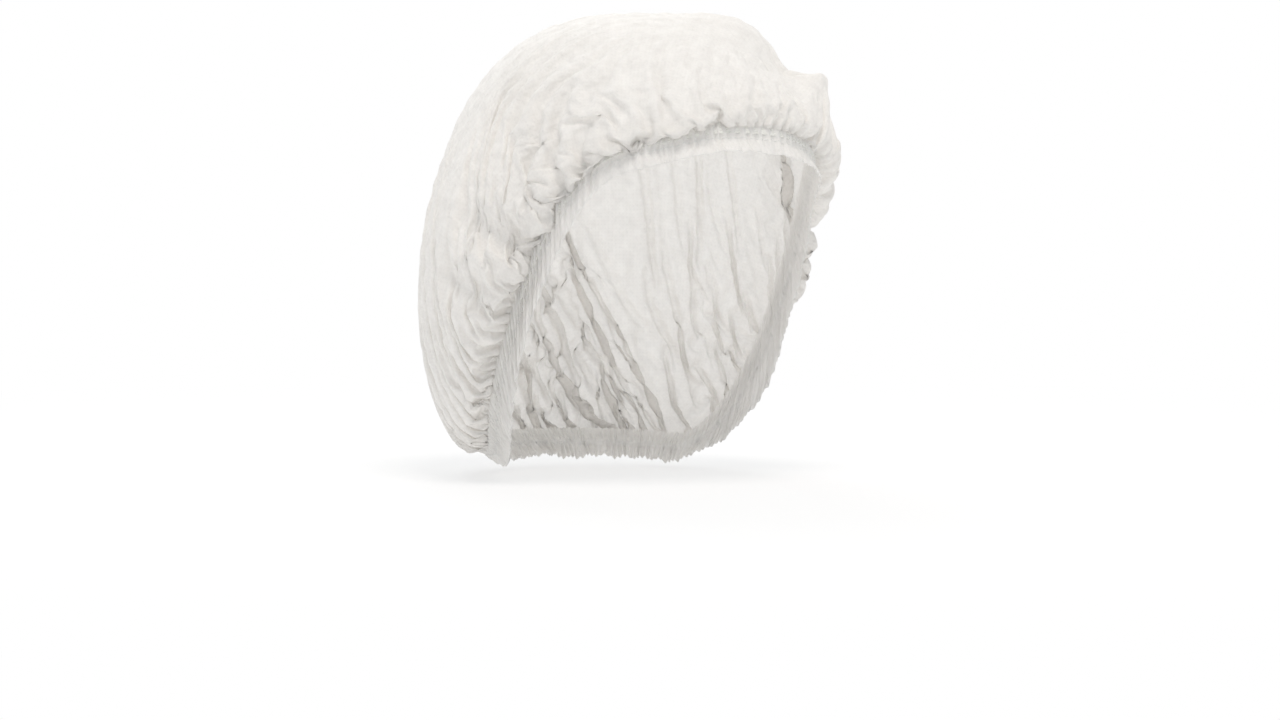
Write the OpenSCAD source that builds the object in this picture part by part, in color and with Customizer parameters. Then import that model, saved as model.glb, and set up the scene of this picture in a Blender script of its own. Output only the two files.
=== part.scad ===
// Gathered round hair cap of thin non-woven sheet, in the shape it takes when worn.
// +Z is up, the face looks along -Y and +X is the wearer's left. The origin lies on the
// head's upright axis, level with the middle of the elastic's height.
// A place on the cap is an azimuth (0 at the forehead, 90 at the left ear, 180 at the
// nape), an elevation seen from the head's centre, and a distance out from the head.

/* [Head] */
// Half width of the head, ear to ear without the ears
head_half_w = 74; // [62:0.5:90]
// Head centre to forehead
head_front = 95; // [80:0.5:114]
// Head centre to the back of the head
head_back = 90; // [75:0.5:108]
// Head centre to the top of the head
head_top = 106; // [88:0.5:127]
// Head centre to the level where the neck closes in under the cap
head_bottom = 93; // [88:0.5:111]
// Height of the head's centre above the origin
head_z = 8; // [0:0.5:16]
// How square the upper half is in side view, 2 for an ellipse
square_top = 2.3; // [2:0.1:3]
// How square the lower half is in side view, 2 for an ellipse
square_bottom = 3; // [2.4:0.1:3.6]

/* [Crown] */
// Thickness of the solid that stands in for the sheet
sheet_t = 1; // [0.8:0.1:1.4]
// How far the crown stands off the head
loft = 7; // [5.5:0.5:12]
// How soon the crown pulls in to the elastic, larger for a tighter curve
pull_in = 14; // [4:1:17]

/* [Slack] */
// How far the loose side of the crown stands out
slack_rise = 14; // [4:0.5:18]
// Azimuth of the loose side
slack_azimuth = 48; // [30:1:70]
// Elevation of the loose side
slack_elevation = 30; // [25:1:50]
// How far each puff stands out from the loose side
puff_rise = 6; // [2:0.5:8]
// How far each ear pushes the sheet out
ear_rise = 7; // [3:0.5:10]
// Azimuth of the ears
ear_azimuth = 94; // [88:1:100]
// Elevation of the ears
ear_elevation = 3; // [-5:1:10]

/* [Elastic line] */
// Height of the elastic at the forehead
elastic_front_z = 67; // [56:0.5:76]
// Height of the elastic at the nape
elastic_back_z = -68; // [-72:0.5:-56]
// Drop of the elastic across the brow, forehead to temple
brow_drop = 13; // [0:0.5:18]
// Azimuth where the brow's curve ends
brow_end = 60; // [50:1:72]
// Azimuth where the elastic starts its steep run in front of the ear
drop_start = 37; // [30:1:45]
// Azimuth where the elastic reaches its lowest level, behind the ear
drop_end = 120; // [105:1:135]
// How much lower the left temple sits than the right, halved
tilt = 7; // [0:0.5:8]

/* [Hem] */
// Width of the frill from the elastic line to the folded edge
frill_w = 11; // [9:0.5:16]
// Gap between the hem and the head
head_gap = 0.5; // [0.3:0.1:1.5]

/* [Elastic] */
// Width of the flat elastic
band_w = 5; // [4:0.25:7]
// Thickness of the flat elastic
band_t = 0.6; // [0.4:0.1:0.8]
// Space round the elastic in its casing
band_gap = 0.3; // [0.3:0.05:0.4]
// Length of the lapped join in the elastic
lap_length = 14; // [11:1:18]

/* [Thread] */
// Thickness of the seam thread
thread_d = 0.6; // [0.5:0.1:0.8]
// Length of one tack of thread across the lapped join
tack_w = 0.7; // [0.5:0.1:0.9]

/* [Hidden] */

// Stations round the cap, shared by every piece so that their faces meet
around = 80;
// Rows from the crown's centre to the casing
rows = 18;
// Degrees in a radian
deg = 180 / PI;

// The casing is as wide as the elastic, its gaps and one sheet past them on each side
casing_half = band_w / 2 + band_gap + sheet_t;
// The pocket holds the elastic, its lapped end and the gaps between them
pocket = 2 * band_t + 3 * band_gap;
// Depth of the hem, from its outer face to the turned edge's inner face
hem_depth = 2 * sheet_t + pocket;
// How far the hem's outer face stands off the head
hem_stand = head_gap + hem_depth;
// Where the seam runs, past the casing on the frill
seam_at = casing_half + thread_d;
// How sharply the slack side, the puffs and the ears fade, larger for a smaller bulge
slack_focus = 6;
puff_focus = 55;
ear_focus = 14;
// Azimuth and elevation of each puff from the middle of the loose side
PUFFS = [[-8, 20], [-6, 4], [-4, -15], [24, 10], [22, -12]];
// Rise of the tacks over the lapped end, and their gap to it
tack_t = band_gap / 2;
tack_gap = band_gap / 6;
tacks = 3;

// Azimuth of station i, starting at the forehead
function azimuth(i) = 360 * i / around;
// Angle from the forehead, the same on both sides
function from_front(u) = abs(u - 360 * round(u / 360));
// Half depth of the head at azimuth u, on the front or back ellipse
function half_depth(u) = from_front(u) < 90 ? head_front : head_back;
// Radius of the head's widest level at azimuth u
function level_r(u) = 1 / norm([sin(u) / head_half_w, cos(u) / half_depth(u)]);

// Unit vector at azimuth u and elevation e
function toward(u, e) = [sin(u) * cos(e), -cos(u) * cos(e), sin(e)];
// Distance from the head's centre to its surface
function head_r(u, e) =
    let (n = e > 0 ? square_top : square_bottom, h = e > 0 ? head_top : head_bottom)
    pow(pow(cos(e) / level_r(u), n) + pow(abs(sin(e)) / h, n), -1 / n);
// A bulge of 1 around a direction, fading to 0
function bulge(u, e, u0, e0, focus) = exp(focus * (toward(u, e) * toward(u0, e0) - 1));

// Share of the way from azimuth u0 to u1, held at 0 before it and at 1 after it
function way(u, u0, u1) = max(0, min(1, (from_front(u) - u0) / (u1 - u0)));
// A smooth step along such a share, level at both ends, and its change for each share
function step(t) = t * t * t * (10 - 15 * t + 6 * t * t);
function step_rate(t) = 30 * t * t * (1 - t) * (1 - t);
side_drop = elastic_front_z - elastic_back_z - brow_drop;
// Height of the elastic line over the head's centre
function line_z(u) =
    elastic_front_z - head_z
    - brow_drop * step(way(u, 0, brow_end))
    - side_drop * step(way(u, drop_start, drop_end))
    - tilt * sin(u) * (1 + cos(u)) / 2;
// Elevation of the elastic line, where the head's surface is at that height
function line_e(u) =
    let (z = line_z(u), n = z > 0 ? square_top : square_bottom)
    let (h = z > 0 ? head_top : head_bottom)
    atan2(z, level_r(u) * pow(1 - pow(abs(z) / h, n), 1 / n));
// How steeply the line runs, as height for each length round the head
function line_slope(u) =
    side_drop * step_rate(way(u, drop_start, drop_end)) / (drop_end - drop_start)
    * deg / level_r(u);
// Elevation at a distance a from the elastic line, measured square to the line
function edge_e(u, a) =
    line_e(u) - a * norm([1, line_slope(u)]) / head_r(u, line_e(u)) * deg;

// Point of the hem at distance a from the elastic line and depth b under the outer face
function hem_point(u, a, b) =
    let (e = edge_e(u, a))
    [0, 0, head_z] + (head_r(u, e) + hem_stand - b) * toward(u, e);

// Rise of the loose side, its puffs and the ears
function rise(u, e) =
    slack_rise * bulge(u, e, slack_azimuth, slack_elevation, slack_focus)
    + puff_rise * puffs_at(u, e)
    + ear_rise * bulge(u, e, ear_azimuth, ear_elevation, ear_focus)
    + ear_rise * bulge(u, e, -ear_azimuth, ear_elevation, ear_focus);
function puffs_at(u, e) =
    let (at = [for (p = PUFFS) bulge(u, e, slack_azimuth + p[0], slack_elevation + p[1], puff_focus)])
    at * [for (p = at) 1];

// Point of the crown in row j at azimuth u and depth b under its outer face
function crown_point(u, j, b) =
    let (v = j / rows, e = 90 - (90 - edge_e(u, -casing_half)) * v)
    let (free = 1 - pow(v, pull_in), out = hem_stand + free * (max(0, loft - hem_stand) + rise(u, e)))
    [0, 0, head_z] + (head_r(u, e) + out - b) * toward(u, e);

// Two triangles for each face of a grid whose columns hold count points. Where a column
// runs back, the other diagonal is used, so that the faces of one layer stay parallel.
function strip(i, k, count, columns, back) =
    let (a = i * count, b = ((i + 1) % columns) * count, n = (k + 1) % count)
    back ? [[a + k, a + n, b + n], [a + k, b + n, b + k]]
         : [[a + k, a + n, b + k], [a + n, b + n, b + k]];
// True where a section's outline runs back towards the crown after point k
function runs_back(section, k) = section[(k + 1) % len(section)][0] < section[k][0];

// Faces of a section swept through columns of points, without the ends
function swept(section, spans, columns) =
    let (count = len(section))
    [for (i = [0 : spans - 1], k = [0 : count - 1]) each
        strip(i, k, count, columns, runs_back(section, k))];

// Closed ring swept along the elastic line, from a section in distance and depth
module hem_ring(section) {
    polyhedron(
        [for (i = [0 : around - 1], p = section) hem_point(azimuth(i), p[0], p[1])],
        swept(section, around, around)
    );
}

// Short piece along the elastic line, from azimuth u0 to u1, with flat ends
module hem_piece(section, u0, u1, steps) {
    count = len(section);
    last = steps * count;
    polyhedron(
        [for (i = [0 : steps], p = section) hem_point(u0 + (u1 - u0) * i / steps, p[0], p[1])],
        concat(
            swept(section, steps, steps + 1),
            [for (k = [1 : count - 2]) [0, k + 1, k]],
            [for (k = [1 : count - 2]) [last, last + k, last + k + 1]]
        )
    );
}

// Azimuth that a length along the elastic spans at the nape
function nape_span(length) = length / norm([hem_point(180, 0, 0)[0], hem_point(180, 0, 0)[1]]) * deg;

// The single sheet from the crown's centre to the casing
module crown_sheet() {
    // each column runs down the outer face from the first row and back up the inner face
    column = 2 * rows;
    top = around * column;
    color([0.97, 0.96, 0.95])
    polyhedron(
        concat(
            [for (i = [0 : around - 1]) each concat(
                [for (j = [1 : rows]) crown_point(azimuth(i), j, 0)],
                [for (j = [rows : -1 : 1]) crown_point(azimuth(i), j, sheet_t)]
            )],
            [crown_point(0, 0, 0), crown_point(0, 0, sheet_t)]
        ),
        concat(
            [for (i = [0 : around - 1], k = [0 : column - 2]) each
                strip(i, k, column, around, k >= rows)],
            [for (i = [0 : around - 1]) [top, i * column, ((i + 1) % around) * column]],
            [for (i = [0 : around - 1])
                [top + 1, ((i + 1) % around) * column + column - 1, i * column + column - 1]]
        )
    );
}

// The sheet's edge: down over the elastic, folded at the frill's edge, and back up inside
module hem_frill() {
    fold = sheet_t / 2;
    half = band_w / 2;
    color([0.99, 0.99, 0.98])
    hem_ring([
        [-casing_half, 0],
        [-half, 0],
        [half, 0],
        [casing_half, 0],
        [frill_w - fold, 0],
        [frill_w, fold],
        [frill_w, 2 * sheet_t - fold],
        [frill_w - fold, 2 * sheet_t],
        [casing_half + sheet_t, 2 * sheet_t],
        [casing_half, hem_depth],
        [half, hem_depth],
        [-half, hem_depth],
        [-casing_half, hem_depth],
        [-casing_half, hem_depth - sheet_t],
        [-half, hem_depth - sheet_t],
        [half, hem_depth - sheet_t],
        [half + band_gap, hem_depth - sheet_t],
        [half + band_gap, sheet_t],
        [half, sheet_t],
        [-half, sheet_t],
        [-casing_half, sheet_t]
    ]);
}

// Corners of the elastic's section with its outer face at depth b
function band_section(b) =
    [[-band_w / 2, b], [band_w / 2, b], [band_w / 2, b + band_t], [-band_w / 2, b + band_t]];

// The closed elastic, loose in its casing
module elastic_band() {
    color([0.93, 0.93, 0.9])
    hem_ring(band_section(sheet_t + band_gap));
}

// The elastic's end, lapped over its beginning at the nape
module elastic_lap() {
    half = nape_span(lap_length) / 2;
    color([0.93, 0.93, 0.9])
    hem_piece(band_section(sheet_t + 2 * band_gap + band_t), 180 - half, 180 + half, 6);
}

// Thread bars across the lapped end
module lap_tacks() {
    b = sheet_t + 2 * band_gap + 2 * band_t + tack_gap;
    reach = band_w / 2;
    bar = [[-reach, b], [reach, b], [reach, b + tack_t], [-reach, b + tack_t]];
    width = nape_span(tack_w);
    pitch = nape_span(lap_length) / (tacks + 1);
    color([0.9, 0.9, 0.88])
    for (k = [0 : tacks - 1]) {
        middle = 180 + (k - (tacks - 1) / 2) * pitch;
        hem_piece(bar, middle - width / 2, middle + width / 2, 1);
    }
}

// The line of stitching that closes the casing, on the frill's outer face
module seam_thread() {
    sides = 6;
    r = thread_d / 2;
    color([0.88, 0.88, 0.86])
    hem_ring([for (k = [0 : sides - 1])
        [seam_at + r * cos(360 * (k + 0.5) / sides), -r * (1 + sin(360 * (k + 0.5) / sides))]]);
}

crown_sheet();
hem_frill();
elastic_band();
elastic_lap();
lap_tacks();
seam_thread();
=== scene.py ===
"""Looks of a disposable bouffant hair cap: a disc of thin non-woven sheet, gathered on an elastic.

The cap keeps the shape that it has on a head, and the head itself is left out. The sheet starts
as pleats drawn up on the elastic, and a constraint solver lets it crumple and settle on the head.

A way is a unit direction from the head's centre. A turn is an azimuth in radians, 0 at the
forehead and growing towards the wearer's left. A share, 0 to 1, runs once round the cut disc, and
past is a length past the elastic's line, away from the crown.
"""
import math

import bpy
import numpy as np
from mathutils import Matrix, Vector


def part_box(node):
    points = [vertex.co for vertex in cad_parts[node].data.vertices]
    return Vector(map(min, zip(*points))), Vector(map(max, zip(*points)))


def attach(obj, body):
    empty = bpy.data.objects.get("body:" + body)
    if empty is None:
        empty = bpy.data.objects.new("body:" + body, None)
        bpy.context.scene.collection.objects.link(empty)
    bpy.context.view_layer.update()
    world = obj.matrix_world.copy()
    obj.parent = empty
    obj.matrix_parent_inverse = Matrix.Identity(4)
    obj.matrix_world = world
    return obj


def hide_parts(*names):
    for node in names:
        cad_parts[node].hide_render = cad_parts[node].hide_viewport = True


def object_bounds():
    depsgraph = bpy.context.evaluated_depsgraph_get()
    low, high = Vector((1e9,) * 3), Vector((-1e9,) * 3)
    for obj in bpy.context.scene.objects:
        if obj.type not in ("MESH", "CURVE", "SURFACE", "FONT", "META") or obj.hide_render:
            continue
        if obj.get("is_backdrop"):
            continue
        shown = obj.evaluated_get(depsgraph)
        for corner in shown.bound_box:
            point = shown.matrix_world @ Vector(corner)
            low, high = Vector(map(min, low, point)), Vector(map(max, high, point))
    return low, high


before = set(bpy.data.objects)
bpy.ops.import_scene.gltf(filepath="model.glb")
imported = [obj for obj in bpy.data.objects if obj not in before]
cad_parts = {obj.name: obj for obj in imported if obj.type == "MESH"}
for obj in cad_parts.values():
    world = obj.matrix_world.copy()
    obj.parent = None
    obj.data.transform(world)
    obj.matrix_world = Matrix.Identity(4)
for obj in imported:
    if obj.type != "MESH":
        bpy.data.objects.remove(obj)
CAD_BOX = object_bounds()

MM = 0.001
TAU = 2 * math.pi

# The head under the cap, as in the CAD source
HEAD_HALF_W = 74 * MM
HEAD_FRONT = 95 * MM
HEAD_BACK = 90 * MM
HEAD_TOP = 106 * MM
HEAD_BOTTOM = 93 * MM
HEAD_Z = 8 * MM
SQUARE_TOP = 2.3
SQUARE_BOTTOM = 3.0
EAR_RISE = 9 * MM
EAR_FOCUS = 26
EARS = ((-94, 3), (94, 3))
CENTRE = np.array([0, 0, HEAD_Z], np.float32)

# The elastic's line round the face and nape, as in the CAD source
LINE_FRONT_Z = 67 * MM
LINE_BACK_Z = -68 * MM
BROW_DROP = 13 * MM
BROW_END = math.radians(60)
DROP_START = math.radians(37)
DROP_END = math.radians(120)
TILT = 7 * MM
SIDE_DROP = LINE_FRONT_Z - LINE_BACK_Z - BROW_DROP
ELASTIC_OUT = 2.1 * MM

# The cut disc, and where it is gathered
LINE_RADIUS = 190 * MM
FRILL_W = 11 * MM
SEAM_AT = 4.4 * MM
PLEATS = 192
PLEAT_JITTER = 0.5
PLEAT_TALLER = 0.3
# How much less of the sheet the forehead gets, and more the nape
FRONT_EASE = 0.35
# How far the elastic and the seam press the pleats flat, as a share of their full depth
FRONT_PRESS = 0.45
BACK_PRESS = 0.75
# Azimuth and elevation where the middle of the disc starts
DISC_CENTRE = (172, 50)
# Shares of the disc's radius where pleats start, are full, stop being full and end
RIM_PLEATS = (0.90, 0.99, 1.01, 1.02)
MERGED_PLEATS = (0.80, 0.90, 0.92, 0.99)
ROUGH = 1.2 * MM
ROUGH_PASSES = 6

# Room for the sheet off the head: one loft all over, and puffs and creases. Each is (start, end,
# rise, focus): azimuths and elevations in degrees, how far it stands out, how narrow it is.
LOFT = 8.5 * MM
PUFFS = (
    ((50, 36), (50, 36), 9 * MM, 7),
    ((28, 66), (68, 61), 7 * MM, 80),
    ((42, 44), (60, 42), 14 * MM, 360),
    ((38, 29), (64, 25), 12 * MM, 120),
    ((84, 50), (96, 24), 6 * MM, 90),
    ((26, 52), (80, 49), -13 * MM, 360),
    ((34, 37), (70, 34), -7 * MM, 260),
    ((74, 58), (78, 22), -6 * MM, 200),
    ((-76, 12), (-98, 17), -8 * MM, 500),
    ((-90, -2), (-105, 1), -7 * MM, 400),
    ((-94, 3), (-94, 3), 7 * MM, 14),
    ((94, 3), (94, 3), 7 * MM, 14),
)
PUFF_STATIONS = 5
# Where the sheet hangs slackest, in degrees
SLACK = (48, 32)
SLACK_FOCUS = 6
# How full of the room the sheet starts, and how much fuller at the slack
FILL = 0.5
SLACK_FILL = 0.45
# The power of the radius with which the fill ends at the elastic
FILL_EDGE = 10
# Tucks behind the right ear: the azimuth and elevation of each, and of the cloth that it draws in
TUCKS = ((-87, 12, -98, 20), (-107, 2, -118, 6))
TUCK_FOCUS = 90
TUCK_PULL = 0.8
SHEET_GAP = 1 * MM

# The solver: its grid, and how firmly the sheet keeps its lengths
HALF_GRID = 156
SWEEPS = 12
CONTACT_EVERY = 4
STRETCH = 0.95
SHEAR = 0.5
BEND = 0.06
SPEED_KEPT = 0.85
TOP_SPEED = 2 * MM
WEIGHT = 0.02 * MM
FRICTION = 0.4
# First it is lifted into its room, then it slumps with a little more cloth
LIFT_STEPS = 30
LIFT = 0.06 * MM
SLACK_LIFT = 0.3 * MM
SLUMP_STEPS = 40
SLUMP_ROOM = 2 * MM
GROWN = 1.05
# The air under the slumping sheet holds it up to this far below the furthest that it may stand off
AIR_BAND = 4 * MM
SLACK_AIR_BAND = 1.5 * MM
SLACK_AIR_FOCUS = 12
# The air ends softly at the elastic, and more sharply under the slack
AIR_EDGE = 3
SLACK_AIR_EDGE = 9
SLACK_AIR_SPREAD = math.radians(28)
# Small straight creases that handling leaves in the sheet
CREASE_WAYS = 9
CREASE_PITCH = 9 * MM
CREASE_DEPTH = 0.3 * MM


def unit(v):
    return v / (np.linalg.norm(v, axis=-1, keepdims=True) + 1e-12)


def toward(turn, rise):
    """Unit direction at an azimuth and an elevation, both in radians."""
    flat = np.cos(rise)
    return np.stack([np.sin(turn) * flat, -np.cos(turn) * flat, np.sin(rise)], -1)


def toward_deg(azimuth, elevation):
    return toward(np.radians(float(azimuth)), np.radians(float(elevation)))


def smoother(t):
    """0 to 1 with no corner at either end."""
    t = np.clip(t, 0, 1)
    return t**3 * (10 - 15 * t + 6 * t * t)


def smoother_rate(t):
    """Slope of smoother."""
    t = np.clip(t, 0, 1)
    return 30 * t * t * (1 - t) ** 2


def bump(way, azimuth, elevation, focus):
    """1 at a place on the head, fading to 0 round it."""
    return np.exp(focus * (way @ toward_deg(azimuth, elevation).astype(way.dtype) - 1))


def puff(way, start, end, rise, focus):
    """How far a puff stands out along its length, or a crease draws in."""
    along = np.linspace(0, 1, PUFF_STATIONS if start != end else 1)
    azimuths, elevations = (np.interp(along, (0, 1), ends) for ends in zip(start, end))
    ridge = np.stack([toward_deg(a, e) for a, e in zip(azimuths, elevations)]).astype(way.dtype)
    return rise * np.exp(focus * ((way @ ridge.T).max(-1) - 1))


def head_reach(way):
    """Distance from the head's centre to its surface, ears left out."""
    up = way[..., 2] > 0
    power = np.where(up, SQUARE_TOP, SQUARE_BOTTOM)
    half_length = np.where(way[..., 1] < 0, HEAD_FRONT, HEAD_BACK)
    level = np.hypot(way[..., 0] / HEAD_HALF_W, way[..., 1] / half_length)
    tall = np.abs(way[..., 2]) / np.where(up, HEAD_TOP, HEAD_BOTTOM)
    return (level**power + tall**power) ** (-1 / power)


def room(way):
    """Nearest and furthest that the sheet may be from the head's centre."""
    bare = head_reach(way)
    near = bare + SHEET_GAP + sum(EAR_RISE * bump(way, *ear, EAR_FOCUS) for ear in EARS)
    far = bare + LOFT + sum(puff(way, *one) for one in PUFFS)
    return near, np.maximum(near, far)


def level_reach(turn):
    return head_reach(toward(turn, 0 * turn))


def line_height(turn):
    """Height of the elastic's line above the head's centre."""
    away = np.abs((turn + math.pi) % TAU - math.pi)
    run = smoother((away - DROP_START) / (DROP_END - DROP_START))
    lean = TILT * np.sin(turn) * (1 + np.cos(turn)) / 2
    return LINE_FRONT_Z - HEAD_Z - BROW_DROP * smoother(away / BROW_END) - SIDE_DROP * run - lean


def line_rise(turn):
    """Elevation of the elastic's line seen from the head's centre."""
    z = line_height(turn)
    power = np.where(z > 0, SQUARE_TOP, SQUARE_BOTTOM)
    tall = np.abs(z) / np.where(z > 0, HEAD_TOP, HEAD_BOTTOM)
    return np.arctan2(z, level_reach(turn) * (1 - tall**power) ** (1 / power))


def line_slope(turn):
    """How steeply the line falls at the sides, as a rise over a run."""
    away = np.abs((turn + math.pi) % TAU - math.pi)
    span = DROP_END - DROP_START
    return SIDE_DROP * smoother_rate((away - DROP_START) / span) / span / level_reach(turn)


def on_head(turn, past, out):
    """Point past the elastic's line, away from the crown, and out from the head."""
    rise = line_rise(turn)
    rise = rise - past * np.hypot(1, line_slope(turn)) / head_reach(toward(turn, rise))
    way = toward(turn, rise)
    return CENTRE + (head_reach(way) + out)[..., None] * way


def line_table(stations=4001):
    """Turns round the elastic's line, and the length of the line up to each."""
    turn = np.linspace(0, TAU, stations)
    steps = np.linalg.norm(np.diff(on_head(turn, 0 * turn, ELASTIC_OUT + 0 * turn), axis=0), axis=1)
    return turn, np.concatenate([[0], np.cumsum(steps)])


LINE_TURN, LINE_LENGTH = line_table()


def turn_at(share):
    """Turn on the elastic's line of a share of the cut disc: the forehead gets less of the sheet."""
    along = share + FRONT_EASE / TAU * np.sin(TAU * share)
    return np.interp(along * LINE_LENGTH[-1], LINE_LENGTH, LINE_TURN)


def pleat_wave(share, count, seed):
    """Pleats of uneven width round the disc: 0 in a valley, up to the pleat's own height on a ridge."""
    rng = np.random.default_rng(seed)
    width = 1 + PLEAT_JITTER * rng.uniform(-1, 1, count)
    edges = np.concatenate([[0], np.cumsum(width)]) / width.sum()
    height = 1 + PLEAT_TALLER * rng.uniform(-1, 1, count)
    place = np.interp(share % 1, edges, np.arange(count + 1))
    pleat = np.minimum(place.astype(int), count - 1)
    share_in = place - pleat
    tall = height[pleat] * (1 - share_in) + height[(pleat + 1) % count] * share_in
    return tall * (1 - np.cos(TAU * place)) / 2


def pleat_depth(share):
    """Depth that takes up the sheet: each pleat's two flanks are as long as its share of the disc."""
    cloth = TAU * LINE_RADIUS / PLEATS
    pitch = LINE_LENGTH[-1] / PLEATS * (1 + FRONT_EASE * np.cos(TAU * share))
    pressed = BACK_PRESS + (FRONT_PRESS - BACK_PRESS) * (1 + np.cos(TAU * share)) / 2
    return pressed * np.sqrt(np.maximum(cloth**2 - pitch**2, 0)) / 2


def lap_place():
    """Turn at the middle of the elastic's lapped join."""
    low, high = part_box("elastic_lap")
    return math.atan2((low.x + high.x) / 2, -(low.y + high.y) / 2)


LAP_TURN = lap_place()


OVER_ELASTIC = 3.0 * MM
LAP_RISE = 0.8 * MM
LAP_SPREAD = 0.12
LAP_REACH = 1.6


def over_elastic(turn):
    """How far the sheet rides out over the elastic, and further over its lapped join."""
    away = np.abs((turn - LAP_TURN + math.pi) % TAU - math.pi)
    return OVER_ELASTIC + LAP_RISE * smoother(LAP_REACH - away / LAP_SPREAD)


# Seeds of the random draws
PLEAT_SEED = 5
MERGED_SEED = 6
LOOSE_SEED = 9
ROUGH_SEED = 3
CROWN_CREASE_SEED = 31
FRILL_CREASE_SEED = 32
DRIFT_SEED = 21
BASE_SEED = 22


def line_points(share):
    """The pleated sheet where it crosses the elastic."""
    turn = turn_at(share)
    out = over_elastic(turn) + pleat_depth(share) * pleat_wave(share, PLEATS, PLEAT_SEED)
    return on_head(turn, 0 * turn, out)


def disc_grid(half):
    """Points of a square grid pushed out to a disc of radius 1, and each one's share of the circle."""
    a = np.arange(-half, half + 1) / half
    across, along = np.meshgrid(a, a, indexing="ij")
    wide = np.abs(across) >= np.abs(along)
    reach = np.where(wide, across, along)
    reach_safe = np.where(reach == 0, 1, reach)
    from_across = math.pi / 4 * along / reach_safe
    from_along = math.pi / 2 - math.pi / 4 * across / reach_safe
    angle = np.where(wide, from_across, from_along)
    x, y = reach * np.cos(angle), reach * np.sin(angle)
    return x, y, np.arctan2(y, x) / TAU % 1


def window(r, start, full, hold, end):
    """1 between full and hold, falling to 0 at start and end."""
    return np.clip((r - start) / (full - start), 0, 1) * np.clip((end - r) / (end - hold), 0, 1)


def between(a, b, t):
    """Directions on the arc from a to b."""
    angle = np.arccos(np.clip((a * b).sum(-1), -1, 1))[..., None]
    return unit(np.sin((1 - t) * angle) * a + np.sin(t * angle) * b)


def caught(way):
    """Directions again, drawn together into the tucks."""
    for azimuth, elevation, from_azimuth, from_elevation in TUCKS:
        pull = TUCK_PULL * bump(way, from_azimuth, from_elevation, TUCK_FOCUS)[..., None]
        way = unit(way + pull * (toward_deg(azimuth, elevation) - way))
    return way


def smoothed_noise(shape, passes, seed):
    """Random heights, each averaged with its neighbours, scaled to a spread of 1."""
    noise = np.random.default_rng(seed).standard_normal(shape)
    for _ in range(passes):
        noise = (noise + np.roll(noise, 1, axis=0)) / 2
        noise = (noise + np.roll(noise, 1, axis=1)) / 2
    return noise / noise.std()


def crumple(x, y, seed):
    """Nearly straight creases that cross in every direction, from about -1 to 1."""
    rng = np.random.default_rng(seed)
    total = 0
    for angle in np.linspace(0, math.pi, CREASE_WAYS, endpoint=False):
        along = (y * math.cos(angle) - x * math.sin(angle)) / CREASE_PITCH
        bend = 0.5 * np.sin(along * rng.uniform(0.6, 1.2) + rng.uniform(0, TAU))
        across = (x * math.cos(angle) + y * math.sin(angle)) / CREASE_PITCH * rng.uniform(0.6, 1.5)
        total = total + 4 * np.abs((across + bend + rng.uniform()) % 1 - 0.5) - 1
    return total / math.sqrt(CREASE_WAYS)


def start_shape(half):
    """The sheet laid over the head in pleats that merge away from the elastic."""
    x, y, share = disc_grid(half)
    r = np.hypot(x, y)
    turn = turn_at(share)
    rim = toward(turn, line_rise(turn))
    way = caught(between(np.broadcast_to(toward_deg(*DISC_CENTRE), rim.shape), rim, r[..., None]))
    near, far = room(way)
    depth = pleat_depth(share)
    wave = depth * pleat_wave(share, PLEATS, PLEAT_SEED) * window(r, *RIM_PLEATS)
    wave += depth * pleat_wave(share, PLEATS // 2, MERGED_SEED) * window(r, *MERGED_PLEATS)
    rough = ROUGH * smoothed_noise(r.shape, ROUGH_PASSES, ROUGH_SEED)
    fill = FILL + SLACK_FILL * bump(way, *SLACK, SLACK_FOCUS)
    reach = near + fill * (far - near) * (1 - r**FILL_EDGE) + wave + rough
    points = (CENTRE + reach[..., None] * way).astype(np.float32)
    return pin_rim(points, x, y, share)


def pin_rim(points, x, y, share):
    """The sheet with its rim on the pleated line, and which points are held there."""
    held = np.abs(np.hypot(x, y) - 1) < 1e-9
    points[held] = line_points(share[held])
    return points, held


def link_pairs(count, apart):
    """Index slices of points that are apart from each other, in batches that share no point."""
    for first in range(2 * apart):
        starts = range(first, count - apart, 2 * apart)
        if len(starts):
            stop = starts[-1] + 1
            yield slice(first, stop, 2 * apart), slice(first + apart, stop + apart, 2 * apart)


def links(flat, held):
    """Every length that the sheet keeps, as batches for settle."""
    count = len(flat)
    every, low, high = slice(None), slice(0, count - 1), slice(1, count)
    free = np.where(held, 0.0, 1.0)
    made = []

    def keep(a, b, stiffness, only_short):
        length = np.linalg.norm(flat[a] - flat[b], axis=-1)
        weight = np.maximum(free[a] + free[b], 1e-9)
        share_a = (stiffness * free[a] / weight)[..., None].astype(np.float32)
        share_b = (stiffness * free[b] / weight)[..., None].astype(np.float32)
        made.append((a, b, length.astype(np.float32), share_a, share_b, only_short))

    for a, b in link_pairs(count, 1):
        keep((a, every), (b, every), STRETCH, False)
        keep((every, a), (every, b), STRETCH, False)
    for a, b in link_pairs(count, 1):
        keep((a, low), (b, high), SHEAR, False)
        keep((a, high), (b, low), SHEAR, False)
    for a, b in link_pairs(count, 2):
        keep((a, every), (b, every), BEND, True)
        keep((every, a), (every, b), BEND, True)
    return made


def settle(points, made):
    """One pass over every link: each is brought back towards its length, bends only if too short."""
    for a, b, length, share_a, share_b, only_short in made:
        gap = points[b] - points[a]
        now = np.sqrt(np.einsum("ijk,ijk->ij", gap, gap)) + 1e-9
        wrong = (now - length) / now
        if only_short:
            wrong = np.minimum(wrong, 0)
        gap *= wrong[..., None]
        points[a] += share_a * gap
        points[b] -= share_b * gap


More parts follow.
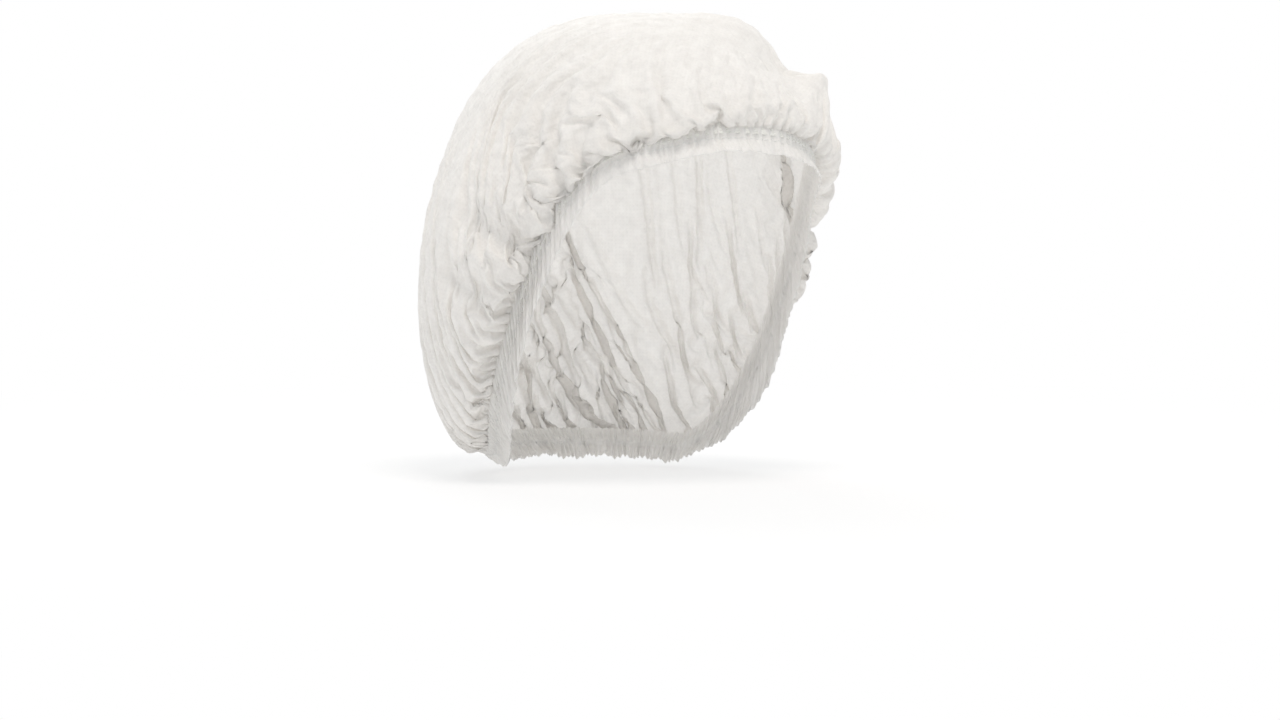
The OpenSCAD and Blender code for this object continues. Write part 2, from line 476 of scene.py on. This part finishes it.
def confine(points, held, spare, air):
    """Keeps the free points between the head, or the air, and the furthest that the sheet stands off.

    Returns the points that had to be pushed out. The spare is added to the furthest, and air is
    0 where nothing holds the sheet off the head and 1 where the air does.
    """
    arm = points - CENTRE
    reach = np.linalg.norm(arm, axis=-1) + 1e-9
    way = arm / reach[..., None]
    near, far = room(way)
    band = AIR_BAND + (SLACK_AIR_BAND - AIR_BAND) * bump(way, *SLACK, SLACK_AIR_FOCUS)
    near = near + air * np.maximum(far - band - near, 0)
    scale = np.where(held, 1, np.clip(1, near / reach, (far + spare) / reach))
    points[:] = CENTRE + arm * scale[..., None].astype(np.float32)
    return (reach < near) & ~held


def normals(points):
    """Unit normals of a grid of points, away from the head."""
    n = unit(np.cross(np.gradient(points, axis=0), np.gradient(points, axis=1)))
    return n if ((points - CENTRE) * n).sum() > 0 else -n


def relax(points, flat, held, steps, lift, slack_lift, spare, air):
    """Lets the sheet settle: it slides, buckles and lifts a little, with friction on what holds it."""
    made = links(flat, held)
    free = np.where(held, 0, 1)[..., None].astype(np.float32)
    speed = np.zeros_like(points)
    weight = np.array([0, 0, -WEIGHT], np.float32)
    for _ in range(steps):
        before = points.copy()
        up = lift + slack_lift * bump(unit(points - CENTRE), *SLACK, SLACK_FOCUS)
        points += (SPEED_KEPT * speed + up[..., None] * normals(points) + weight) * free
        for sweep in range(1, SWEEPS + 1):
            settle(points, made)
            if sweep % CONTACT_EVERY == 0:
                confine(points, held, spare, air)
        on = confine(points, held, spare, air)
        points[on] += FRICTION * (before - points)[on]
        speed = points - before
        fast = np.linalg.norm(speed, axis=-1, keepdims=True) + 1e-12
        speed *= np.minimum(1, TOP_SPEED / fast)
    return points


def flat_points(x, y, grown=1.0):
    """The sheet before it was gathered, in metres."""
    return LINE_RADIUS * grown * np.stack([x, y], -1)


def air_share(x, y, share):
    """1 where air holds the sheet off the head, fading to 0 at the elastic."""
    away = (turn_at(share) - math.radians(SLACK[0])) / SLACK_AIR_SPREAD
    return 1 - np.hypot(x, y) ** (AIR_EDGE + SLACK_AIR_EDGE * np.exp(-(away**2)))


def make_crown_points():
    """The settled sheet, its places on the disc, and which points the elastic holds."""
    x, y, share = disc_grid(HALF_GRID)
    points, held = start_shape(HALF_GRID)
    no_air = 0 * share
    points = relax(points, flat_points(x, y), held, LIFT_STEPS, LIFT, SLACK_LIFT, 0, no_air)
    air = air_share(x, y, share)
    points = relax(points, flat_points(x, y, GROWN), held, SLUMP_STEPS, 0, 0, SLUMP_ROOM, air)
    handled = CREASE_DEPTH * crumple(x * LINE_RADIUS, y * LINE_RADIUS, CROWN_CREASE_SEED) * ~held
    points = points + (handled[..., None] * normals(points)).astype(np.float32)
    confine(points, held, SLUMP_ROOM, no_air)
    return points, x, y, share, held


def new_piece(name, points, faces, smooth=True):
    mesh = bpy.data.meshes.new(name)
    mesh.from_pydata(points.reshape(-1, 3).tolist(), [], faces.reshape(-1, faces.shape[-1]).tolist())
    mesh.polygons.foreach_set("use_smooth", np.full(len(mesh.polygons), smooth))
    mesh.update()
    piece = bpy.data.objects.new(name, mesh)
    bpy.context.scene.collection.objects.link(piece)
    return piece


def grid_faces(rows, columns, closed=False):
    """Four-cornered faces of a grid, whose last column joins the first if closed."""
    index = np.arange(rows * columns).reshape(rows, columns)
    after = np.roll(index, -1, axis=1)
    if not closed:
        index, after = index[:, :-1], after[:, :-1]
    return np.stack([index[:-1], index[1:], after[1:], after[:-1]], -1).reshape(-1, 4)


def add_map(piece, name, corners):
    """A UV map from the coordinates of every face corner."""
    layer = piece.data.uv_layers.new(name=name)
    layer.data.foreach_set("uv", corners.astype(np.float32).ravel())


def make_crown(points, x, y):
    faces = grid_faces(*points.shape[:2])
    piece = new_piece("crown", points, faces)
    disc = np.stack([x, y], -1).reshape(-1, 2)[faces.ravel()]
    add_map(piece, "Cloth", disc * LINE_RADIUS)
    add_map(piece, "OFBake", disc / 2 + 0.5)
    return piece


def wander(share, count, seed):
    """Slow smooth change round the disc, about -1 to 1."""
    rng = np.random.default_rng(seed)
    turns = np.arange(1, count + 1)
    size = rng.uniform(0.3, 1, count) / np.sqrt(count)
    phase = rng.uniform(0, TAU, count)
    return sum(s * np.sin(TAU * k * share + p) for k, s, p in zip(turns, size, phase))


# The frill: how its pleats open towards the free edge
DRIFT = 0.0016
FINE_LOSS = 0.4
LOOSE = 0.65
# Its outer layer off the head at the seam, and how much further its free edge stands and wanders
SEAM_OUT = 1.9 * MM
FREE_OUT_MM = 0.4
FREE_WANDER_MM = 1.2
# The turned layer: nested in the outer one, or under the elastic and dipping with the pleats
LAYER_GAP = 0.35 * MM
UNDER_OUT = 1.5 * MM
UNDER_DIP = 0.8 * MM
CASING_BLEND = 1.2 * MM


def frill_point(share, past, layer):
    """Point on the frill: layer 1 is its outer face and 0 the edge turned in under the elastic."""
    turn = turn_at(share)
    open_end = smoother((past - SEAM_AT) / (FRILL_W - SEAM_AT))
    from_line = smoother(past / SEAM_AT)
    moved = share + DRIFT * open_end * wander(share, 40, DRIFT_SEED)
    fine = pleat_wave(moved, PLEATS, PLEAT_SEED) * (1 - FINE_LOSS * open_end)
    loose = LOOSE * pleat_wave(moved, PLEATS // 3, LOOSE_SEED) * open_end
    base = SEAM_OUT + (over_elastic(turn) - SEAM_OUT) * (1 - from_line)
    base = base + open_end * MM * (FREE_OUT_MM + FREE_WANDER_MM * wander(share, 17, BASE_SEED))
    around = share * TAU * LINE_RADIUS
    handled = CREASE_DEPTH * crumple(around, past, FRILL_CREASE_SEED) * from_line
    outer = base + pleat_depth(share) * (fine + loose) + handled
    nested = outer - LAYER_GAP
    under = np.minimum(nested, UNDER_OUT - UNDER_DIP * fine)
    casing = smoother((SEAM_AT + CASING_BLEND / 2 - past) / CASING_BLEND)
    inner = nested + (under - nested) * casing
    return on_head(turn, past + 0 * share, inner + (outer - inner) * layer)


# Lengths past the line of the frill's rows, in mm: the outer layer, then the turned one
FRILL_PAST = (0, 0.9, 1.8, 2.8, 3.6, 4.4, 5.3, 6.3, 7.4, 8.5, 9.5, 10.3, 10.8)
TURNED_PAST = (10.8, 10.2, 9.3, 8.2, 7.0, 5.8, 4.6, 3.6, 2.6, 1.4, 0.2, -1.2, -2.6, -4.0)


def make_frill(rim):
    """The doubled edge past the elastic, from the crown's own rim to the cut edge inside."""
    share = rim["share"]
    rows = [rim["points"]]
    rows += [frill_point(share, past * MM, 1.0) for past in FRILL_PAST[1:]]
    rows.append(frill_point(share, FRILL_W, 0.5))
    rows += [frill_point(share, past * MM, 0.0) for past in TURNED_PAST]
    points = np.stack(rows)
    faces = grid_faces(len(rows), len(share), closed=True)
    piece = new_piece("frill", points, faces)
    across = [*FRILL_PAST, FRILL_W / MM]
    across += [2 * FRILL_W / MM - past for past in TURNED_PAST]
    add_frill_maps(piece, np.array(across) * MM, len(share))
    return piece


BAKE_STRIPS = 8
BAKE_SIDE = 0.01
BAKE_END = 0.03


def add_frill_maps(piece, across, columns):
    """Cloth lengths for the weave, and the long strip cut into rows for the bake."""
    row, column = np.meshgrid(np.arange(len(across) - 1), np.arange(columns), indexing="ij")
    row, column = row.ravel(), column.ravel()
    rows = np.stack([row, row + 1, row + 1, row], -1)
    sides = np.stack([column, column, column + 1, column + 1], -1)
    cloth = np.stack([sides / columns * TAU * LINE_RADIUS, across[rows]], -1)
    add_map(piece, "Cloth", cloth)
    per_strip = columns // BAKE_STRIPS
    strip = (column // per_strip)[:, None]
    depth = (across[rows] - across[0]) / (across[-1] - across[0])
    u = BAKE_SIDE + (1 - 2 * BAKE_SIDE) * (sides - strip * per_strip) / per_strip
    v = (strip + BAKE_END + (1 - 2 * BAKE_END) * depth) / BAKE_STRIPS
    add_map(piece, "OFBake", np.stack([u, v], -1))


STITCH = 2.9 * MM
STITCH_STEP = 3.7 * MM
STITCH_POINTS = 7
THREAD_R = 0.2 * MM
THREAD_SIDES = 6
# In thread radii: how far a stitch rises from its ends, and how deep its ends sit
STITCH_ARCH = 2.0
STITCH_BITE = 0.9
STITCH_ROUND = 0.6
# Steps for taking slopes along the seam and across it
SHARE_STEP = 1e-5
PAST_STEP = 0.1 * MM


def make_stitches():
    """The row of stitches that closes the casing, one short bent length of thread each."""
    count = int(TAU * LINE_RADIUS / STITCH_STEP)
    t = np.linspace(0, 1, STITCH_POINTS)
    share = (np.arange(count)[:, None] + t * STITCH / STITCH_STEP) / count
    past = np.full_like(share, SEAM_AT)
    middle = frill_point(share, past, 1.0)
    along = frill_point(share + SHARE_STEP, past, 1.0) - frill_point(share - SHARE_STEP, past, 1.0)
    across = frill_point(share, past + PAST_STEP, 1.0) - frill_point(share, past - PAST_STEP, 1.0)
    along = unit(along)
    out = unit(np.cross(along, unit(across)))
    out *= np.sign((out * (middle - CENTRE)).sum(-1, keepdims=True))
    arch = STITCH_ARCH * np.sin(math.pi * t) ** STITCH_ROUND - STITCH_BITE
    middle += out * (THREAD_R * arch)[:, None]
    side = np.cross(along, out)
    angle = np.linspace(0, TAU, THREAD_SIDES + 1)[:-1]
    ring = out[:, :, None] * np.cos(angle)[:, None] + side[:, :, None] * np.sin(angle)[:, None]
    points = middle[:, :, None] + THREAD_R * ring
    one = grid_faces(len(t), len(angle), closed=True)
    faces = one[None] + (np.arange(count) * len(t) * len(angle))[:, None, None]
    return new_piece("seam_stitches", points, faces)


class Nodes:
    """Short calls for building one material's node tree."""

    def __init__(self, name):
        self.material = bpy.data.materials.new(name)
        self.material.use_nodes = True
        self.tree = self.material.node_tree
        self.tree.nodes.clear()

    def add(self, kind, inputs=(), **settings):
        """A new node. Inputs are (socket, value or output) pairs."""
        node = self.tree.nodes.new(kind)
        for name, value in settings.items():
            setattr(node, name, value)
        for socket, value in inputs:
            if isinstance(value, bpy.types.NodeSocket):
                self.tree.links.new(value, node.inputs[socket])
            else:
                node.inputs[socket].default_value = value
        return node

    def math(self, operation, *values):
        """The result of a Math node."""
        return self.add("ShaderNodeMath", enumerate(values), operation=operation).outputs[0]

    def spread(self, value, low, high, start, end):
        """A value mapped smoothly from low..high to start..end."""
        inputs = (
            ("Value", value), ("From Min", low), ("From Max", high), ("To Min", start), ("To Max", end),
        )
        return self.add("ShaderNodeMapRange", inputs, interpolation_type="SMOOTHSTEP").outputs[0]

    def noise(self, place, scale, detail=2.0, roughness=0.5):
        """Clouds from 0 to 1, with scale features to a metre."""
        inputs = (("Vector", place), ("Scale", scale), ("Detail", detail), ("Roughness", roughness))
        return self.add("ShaderNodeTexNoise", inputs).outputs["Fac"]

    def stretched(self, place, angle, size):
        """A place turned in its plane and stretched, for streaks."""
        inputs = (("Vector", place), ("Rotation", (0, 0, math.radians(angle))), ("Scale", size))
        return self.add("ShaderNodeMapping", inputs).outputs[0]

    def blend(self, share, dark, light):
        """A colour from dark at 0 to light at 1."""
        inputs = ((0, share), (6, (*dark, 1)), (7, (*light, 1)))
        return self.add("ShaderNodeMix", inputs, data_type="RGBA").outputs[2]

    def bumped(self, layers):
        """One normal from (height, distance in metres) layers."""
        normal = None
        for height, distance in layers:
            inputs = [("Height", height), ("Distance", distance), ("Strength", 1.0)]
            if normal is not None:
                inputs.append(("Normal", normal))
            normal = self.add("ShaderNodeBump", inputs).outputs[0]
        return normal

    def finish(self, shader):
        self.add("ShaderNodeOutputMaterial", (("Surface", shader),))
        return self.material


# Looks of the sheet. Scales are in features to a metre.
CLOUD_SCALE = 140.0
FIBRE_SCALE = 2600.0
FIBRE_ANGLES = (12, 71, 133)
FIBRE_STRETCH = (1, 0.09, 1)
BOND_SCALE = 620.0
COARSE_CREASES = 150.0
FINE_CREASES = 330.0
SHEET_THIN = (0.905, 0.885, 0.86)
SHEET_THICK = (0.96, 0.943, 0.918)
SHEET_THROUGH = 0.34
SHEET_OPEN = 0.05
HEM_THIN = (0.915, 0.9, 0.88)
HEM_THICK = (0.96, 0.948, 0.93)
HEM_THROUGH = 0.3
HEM_OPEN = 0.02


def fibre_streaks(n, cloth):
    """Fine crossing fibres of the spun web, as a height from 0 to 1."""
    total = None
    for angle in FIBRE_ANGLES:
        streak = n.noise(n.stretched(cloth, angle, FIBRE_STRETCH), FIBRE_SCALE, 1.0)
        total = streak if total is None else n.math("MAXIMUM", total, streak)
    return total


def bond_points(n, cloth):
    """The rows of small pressed bonds, 1 in a bond and 0 between them."""
    place = n.stretched(cloth, 45, (1, 1, 1))
    inputs = (("Vector", place), ("Scale", BOND_SCALE), ("Randomness", 0.0))
    cell = n.add("ShaderNodeTexVoronoi", inputs, distance="MANHATTAN").outputs["Distance"]
    return n.spread(cell, 0.2, 0.42, 1.0, 0.0)


def creases(n, cloth, scale):
    """Sharp small creases, as in handled paper."""
    clouds = n.add("ShaderNodeTexNoise", (("Vector", cloth), ("Scale", scale * 0.8))).outputs["Color"]
    inputs = ((0, clouds), ("Scale", 0.5 / scale))
    shift = n.add("ShaderNodeVectorMath", inputs, operation="SCALE").outputs[0]
    bent = n.add("ShaderNodeVectorMath", ((0, cloth), (1, shift))).outputs[0]
    inputs = (("Vector", bent), ("Scale", scale))
    edge = n.add("ShaderNodeTexVoronoi", inputs, feature="DISTANCE_TO_EDGE").outputs["Distance"]
    return n.spread(edge, 0.0, 0.35, 0.0, 1.0)


def sheet_material(name, thin, thick, through, open_share):
    """Thin spun sheet: cloudy, pressed in fine bonds, and lit through from behind.

    The colours are those of thin and thick web, through is the share of light that comes from
    behind, and open_share is about how much of the sheet is holes between its fibres.
    """
    n = Nodes(name)
    cloth = n.add("ShaderNodeUVMap", uv_map="Cloth").outputs[0]
    cloud = n.noise(cloth, CLOUD_SCALE, 4.0, 0.62)
    bonds = bond_points(n, cloth)
    fibres = fibre_streaks(n, cloth)
    dense = n.spread(cloud, 0.3, 0.7, 0.0, 1.0)
    colour = n.blend(dense, thin, thick)
    normal = n.bumped((
        (creases(n, cloth, COARSE_CREASES), 0.25 * MM),
        (creases(n, cloth, FINE_CREASES), 0.12 * MM),
        (fibres, 0.03 * MM),
        (n.math("SUBTRACT", 1.0, bonds), 0.03 * MM),
    ))
    web = n.spread(cloud, 0.3, 0.72, 1 - open_share * 1.5, 1 - open_share * 0.5)
    solid = n.math("ADD", web, n.math("MULTIPLY", bonds, -0.04))
    rough = n.spread(bonds, 0.0, 1.0, 0.78, 0.5)
    front = n.add("ShaderNodeBsdfPrincipled", (
        ("Base Color", colour), ("Roughness", rough), ("Specular IOR Level", 0.3),
        ("Sheen Weight", 0.15), ("Sheen Roughness", 0.5), ("Normal", normal), ("Alpha", solid),
    ))
    behind = n.add("ShaderNodeBsdfTranslucent", (("Color", colour), ("Normal", normal)))
    mixed = n.add("ShaderNodeMixShader", ((0, through), (1, front.outputs[0]), (2, behind.outputs[0])))
    return n.finish(mixed.outputs[0])


def elastic_material():
    """Flat braided elastic: fine ribs along it, and the rubber showing between them."""
    n = Nodes("braided_elastic")
    place = n.add("ShaderNodeTexCoord").outputs["Object"]
    ribs = n.noise(n.stretched(place, 0, (1, 1, 6)), 700.0, 2.0)
    braid = n.noise(place, 1600.0, 1.0)
    shade = n.spread(ribs, 0.35, 0.65, 0.0, 1.0)
    colour = n.blend(shade, (0.74, 0.73, 0.69), (0.9, 0.9, 0.86))
    normal = n.bumped(((ribs, 0.25 * MM), (braid, 0.08 * MM)))
    shader = n.add("ShaderNodeBsdfPrincipled", (
        ("Base Color", colour), ("Roughness", n.spread(braid, 0.3, 0.7, 0.6, 0.85)), ("Normal", normal),
    ))
    return n.finish(shader.outputs[0])


def thread_material():
    """Twisted sewing thread with a slight sheen."""
    n = Nodes("sewing_thread")
    place = n.add("ShaderNodeTexCoord").outputs["Object"]
    twist = n.noise(n.stretched(place, 35, (1, 0.3, 1)), 4200.0, 2.0)
    colour = n.blend(n.spread(twist, 0.35, 0.65, 0.0, 1.0), (0.8, 0.8, 0.78), (0.92, 0.92, 0.9))
    normal = n.bumped(((twist, 0.08 * MM),))
    shader = n.add("ShaderNodeBsdfPrincipled", (
        ("Base Color", colour), ("Roughness", n.spread(twist, 0.3, 0.7, 0.35, 0.6)), ("Normal", normal),
        ("Sheen Weight", 0.2),
    ))
    return n.finish(shader.outputs[0])


def dress(piece, material):
    """Gives a piece one material."""
    piece.data.materials.clear()
    piece.data.materials.append(material)


def rim_of(points, share, held):
    """The crown's rim in order round the disc, with a point added halfway along every edge."""
    order = np.argsort(share[held])
    shares, corners = share[held][order], points[held][order]
    after = np.append(shares[1:], shares[0] + 1)
    halfway = (corners + np.roll(corners, -1, axis=0)) / 2
    fine_shares = np.stack([shares, (shares + after) / 2], -1).ravel()
    fine_points = np.stack([corners, halfway], 1).reshape(-1, 3)
    return {"share": fine_shares, "points": fine_points}


def make_cap():
    """Every piece of the cap, with what each stands for in the CAD."""
    points, x, y, share, held = make_crown_points()
    crown = make_crown(points, x, y)
    frill = make_frill(rim_of(points, share, held))
    stitches = make_stitches()
    thread = thread_material()
    sheet = sheet_material("spun_sheet", SHEET_THIN, SHEET_THICK, SHEET_THROUGH, SHEET_OPEN)
    hem = sheet_material("spun_hem", HEM_THIN, HEM_THICK, HEM_THROUGH, HEM_OPEN)
    dress(crown, sheet)
    dress(frill, hem)
    dress(stitches, thread)
    for piece, node in ((crown, "crown_sheet"), (frill, "hem_frill"), (stitches, "seam_thread")):
        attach(piece, "root")
        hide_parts(node)
    elastic = elastic_material()
    for node in ("elastic_band", "elastic_lap"):
        dress(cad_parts[node], elastic)
    dress(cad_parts["lap_tacks"], thread)


FLOOR_DROP = 2 * MM
FLOOR_R = 6.0
FLOOR_SIDES = 96


def make_floor():
    """A plain pale floor just under the cap, which fades to the white of the room far out."""
    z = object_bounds()[0].z - FLOOR_DROP
    turn = np.linspace(0, TAU, FLOOR_SIDES + 1)[:-1]
    circle = np.stack([FLOOR_R * np.cos(turn), FLOOR_R * np.sin(turn), np.full_like(turn, z)], -1)
    floor = new_piece("floor", circle, np.arange(len(turn))[None])
    n = Nodes("floor_paper")
    place = n.add("ShaderNodeTexCoord").outputs["Object"]
    far = n.add("ShaderNodeVectorMath", ((0, place),), operation="LENGTH").outputs["Value"]
    paper = n.add("ShaderNodeBsdfDiffuse", (("Color", (0.93, 0.93, 0.93, 1)),))
    white = n.add("ShaderNodeEmission", (("Color", (1, 1, 1, 1)), ("Strength", 1.0)))
    share = n.spread(far, 0.1, 0.7, 0.6, 1.0)
    mixed = n.add("ShaderNodeMixShader", ((0, share), (1, paper.outputs[0]), (2, white.outputs[0])))
    floor.data.materials.append(n.finish(mixed.outputs[0]))
    floor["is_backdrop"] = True


def make_room():
    """White all round, dimmer as light than as it looks, so that the lamps can model the folds."""
    world = bpy.data.worlds.new("room")
    world.use_nodes = True
    tree = world.node_tree
    tree.nodes.clear()
    seen = tree.nodes.new("ShaderNodeBackground")
    seen.inputs["Color"].default_value = (1, 1, 1, 1)
    light = tree.nodes.new("ShaderNodeBackground")
    light.inputs["Color"].default_value = (0.965, 0.985, 1.0, 1)
    light.inputs["Strength"].default_value = 0.7
    path = tree.nodes.new("ShaderNodeLightPath")
    mixed = tree.nodes.new("ShaderNodeMixShader")
    out = tree.nodes.new("ShaderNodeOutputWorld")
    tree.links.new(path.outputs["Is Camera Ray"], mixed.inputs[0])
    tree.links.new(light.outputs[0], mixed.inputs[1])
    tree.links.new(seen.outputs[0], mixed.inputs[2])
    tree.links.new(mixed.outputs[0], out.inputs["Surface"])
    bpy.context.scene.world = world


def add_lamp(name, azimuth, elevation, distance, size, power, colour):
    """A soft square lamp that faces the cap."""
    data = bpy.data.lights.new(name, "AREA")
    data.shape = "SQUARE"
    data.size = size
    data.energy = power
    data.color = colour
    lamp = bpy.data.objects.new(name, data)
    way = Vector(toward_deg(azimuth, elevation).tolist())
    lamp.location = Vector(CENTRE.tolist()) + distance * way
    lamp.rotation_euler = way.to_track_quat("Z", "Y").to_euler()
    lamp.visible_camera = False
    bpy.context.scene.collection.objects.link(lamp)


# The camera, placed as it was for the photograph
CAMERA_AZIMUTH = -42
CAMERA_ELEVATION = 3
CAMERA_DISTANCE = 2.0
FRAME_WIDTH = 558 * MM
AIM_RIGHT = 6 * MM
AIM_Z = -32 * MM


def make_camera():
    data = bpy.data.cameras.new("camera")
    data.sensor_width = 36
    data.lens = data.sensor_width * CAMERA_DISTANCE / FRAME_WIDTH
    camera = bpy.data.objects.new("camera", data)
    back = Vector(toward_deg(CAMERA_AZIMUTH, CAMERA_ELEVATION).tolist())
    right = Vector((0, 0, 1)).cross(back).normalized()
    camera.location = AIM_RIGHT * right + Vector((0, 0, AIM_Z)) + CAMERA_DISTANCE * back
    camera.rotation_euler = back.to_track_quat("Z", "Y").to_euler()
    bpy.context.scene.collection.objects.link(camera)
    bpy.context.scene.camera = camera


def write_sizes():
    """Gathers the CAD's box and the visual model's box as plain lists, in metres."""
    boxes = {"cad": CAD_BOX, "visual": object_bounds()}
    plain = {name: [list(corner) for corner in box] for name, box in boxes.items()}


# Each lamp is (name, azimuth, elevation, metres off, metres across, watts, colour)
LAMPS = (
    ("key", -25, 68, 1.7, 0.6, 11, (1.0, 0.94, 0.88)),
    ("side", -130, 4, 1.2, 0.8, 0.9, (0.96, 0.985, 1.0)),
    ("back", 150, 35, 1.8, 0.9, 9, (0.97, 0.99, 1.0)),
)

make_camera()
make_cap()
make_floor()
make_room()
for lamp in LAMPS:
    add_lamp(*lamp)
bpy.context.scene.view_settings.view_transform = "Standard"
write_sizes()
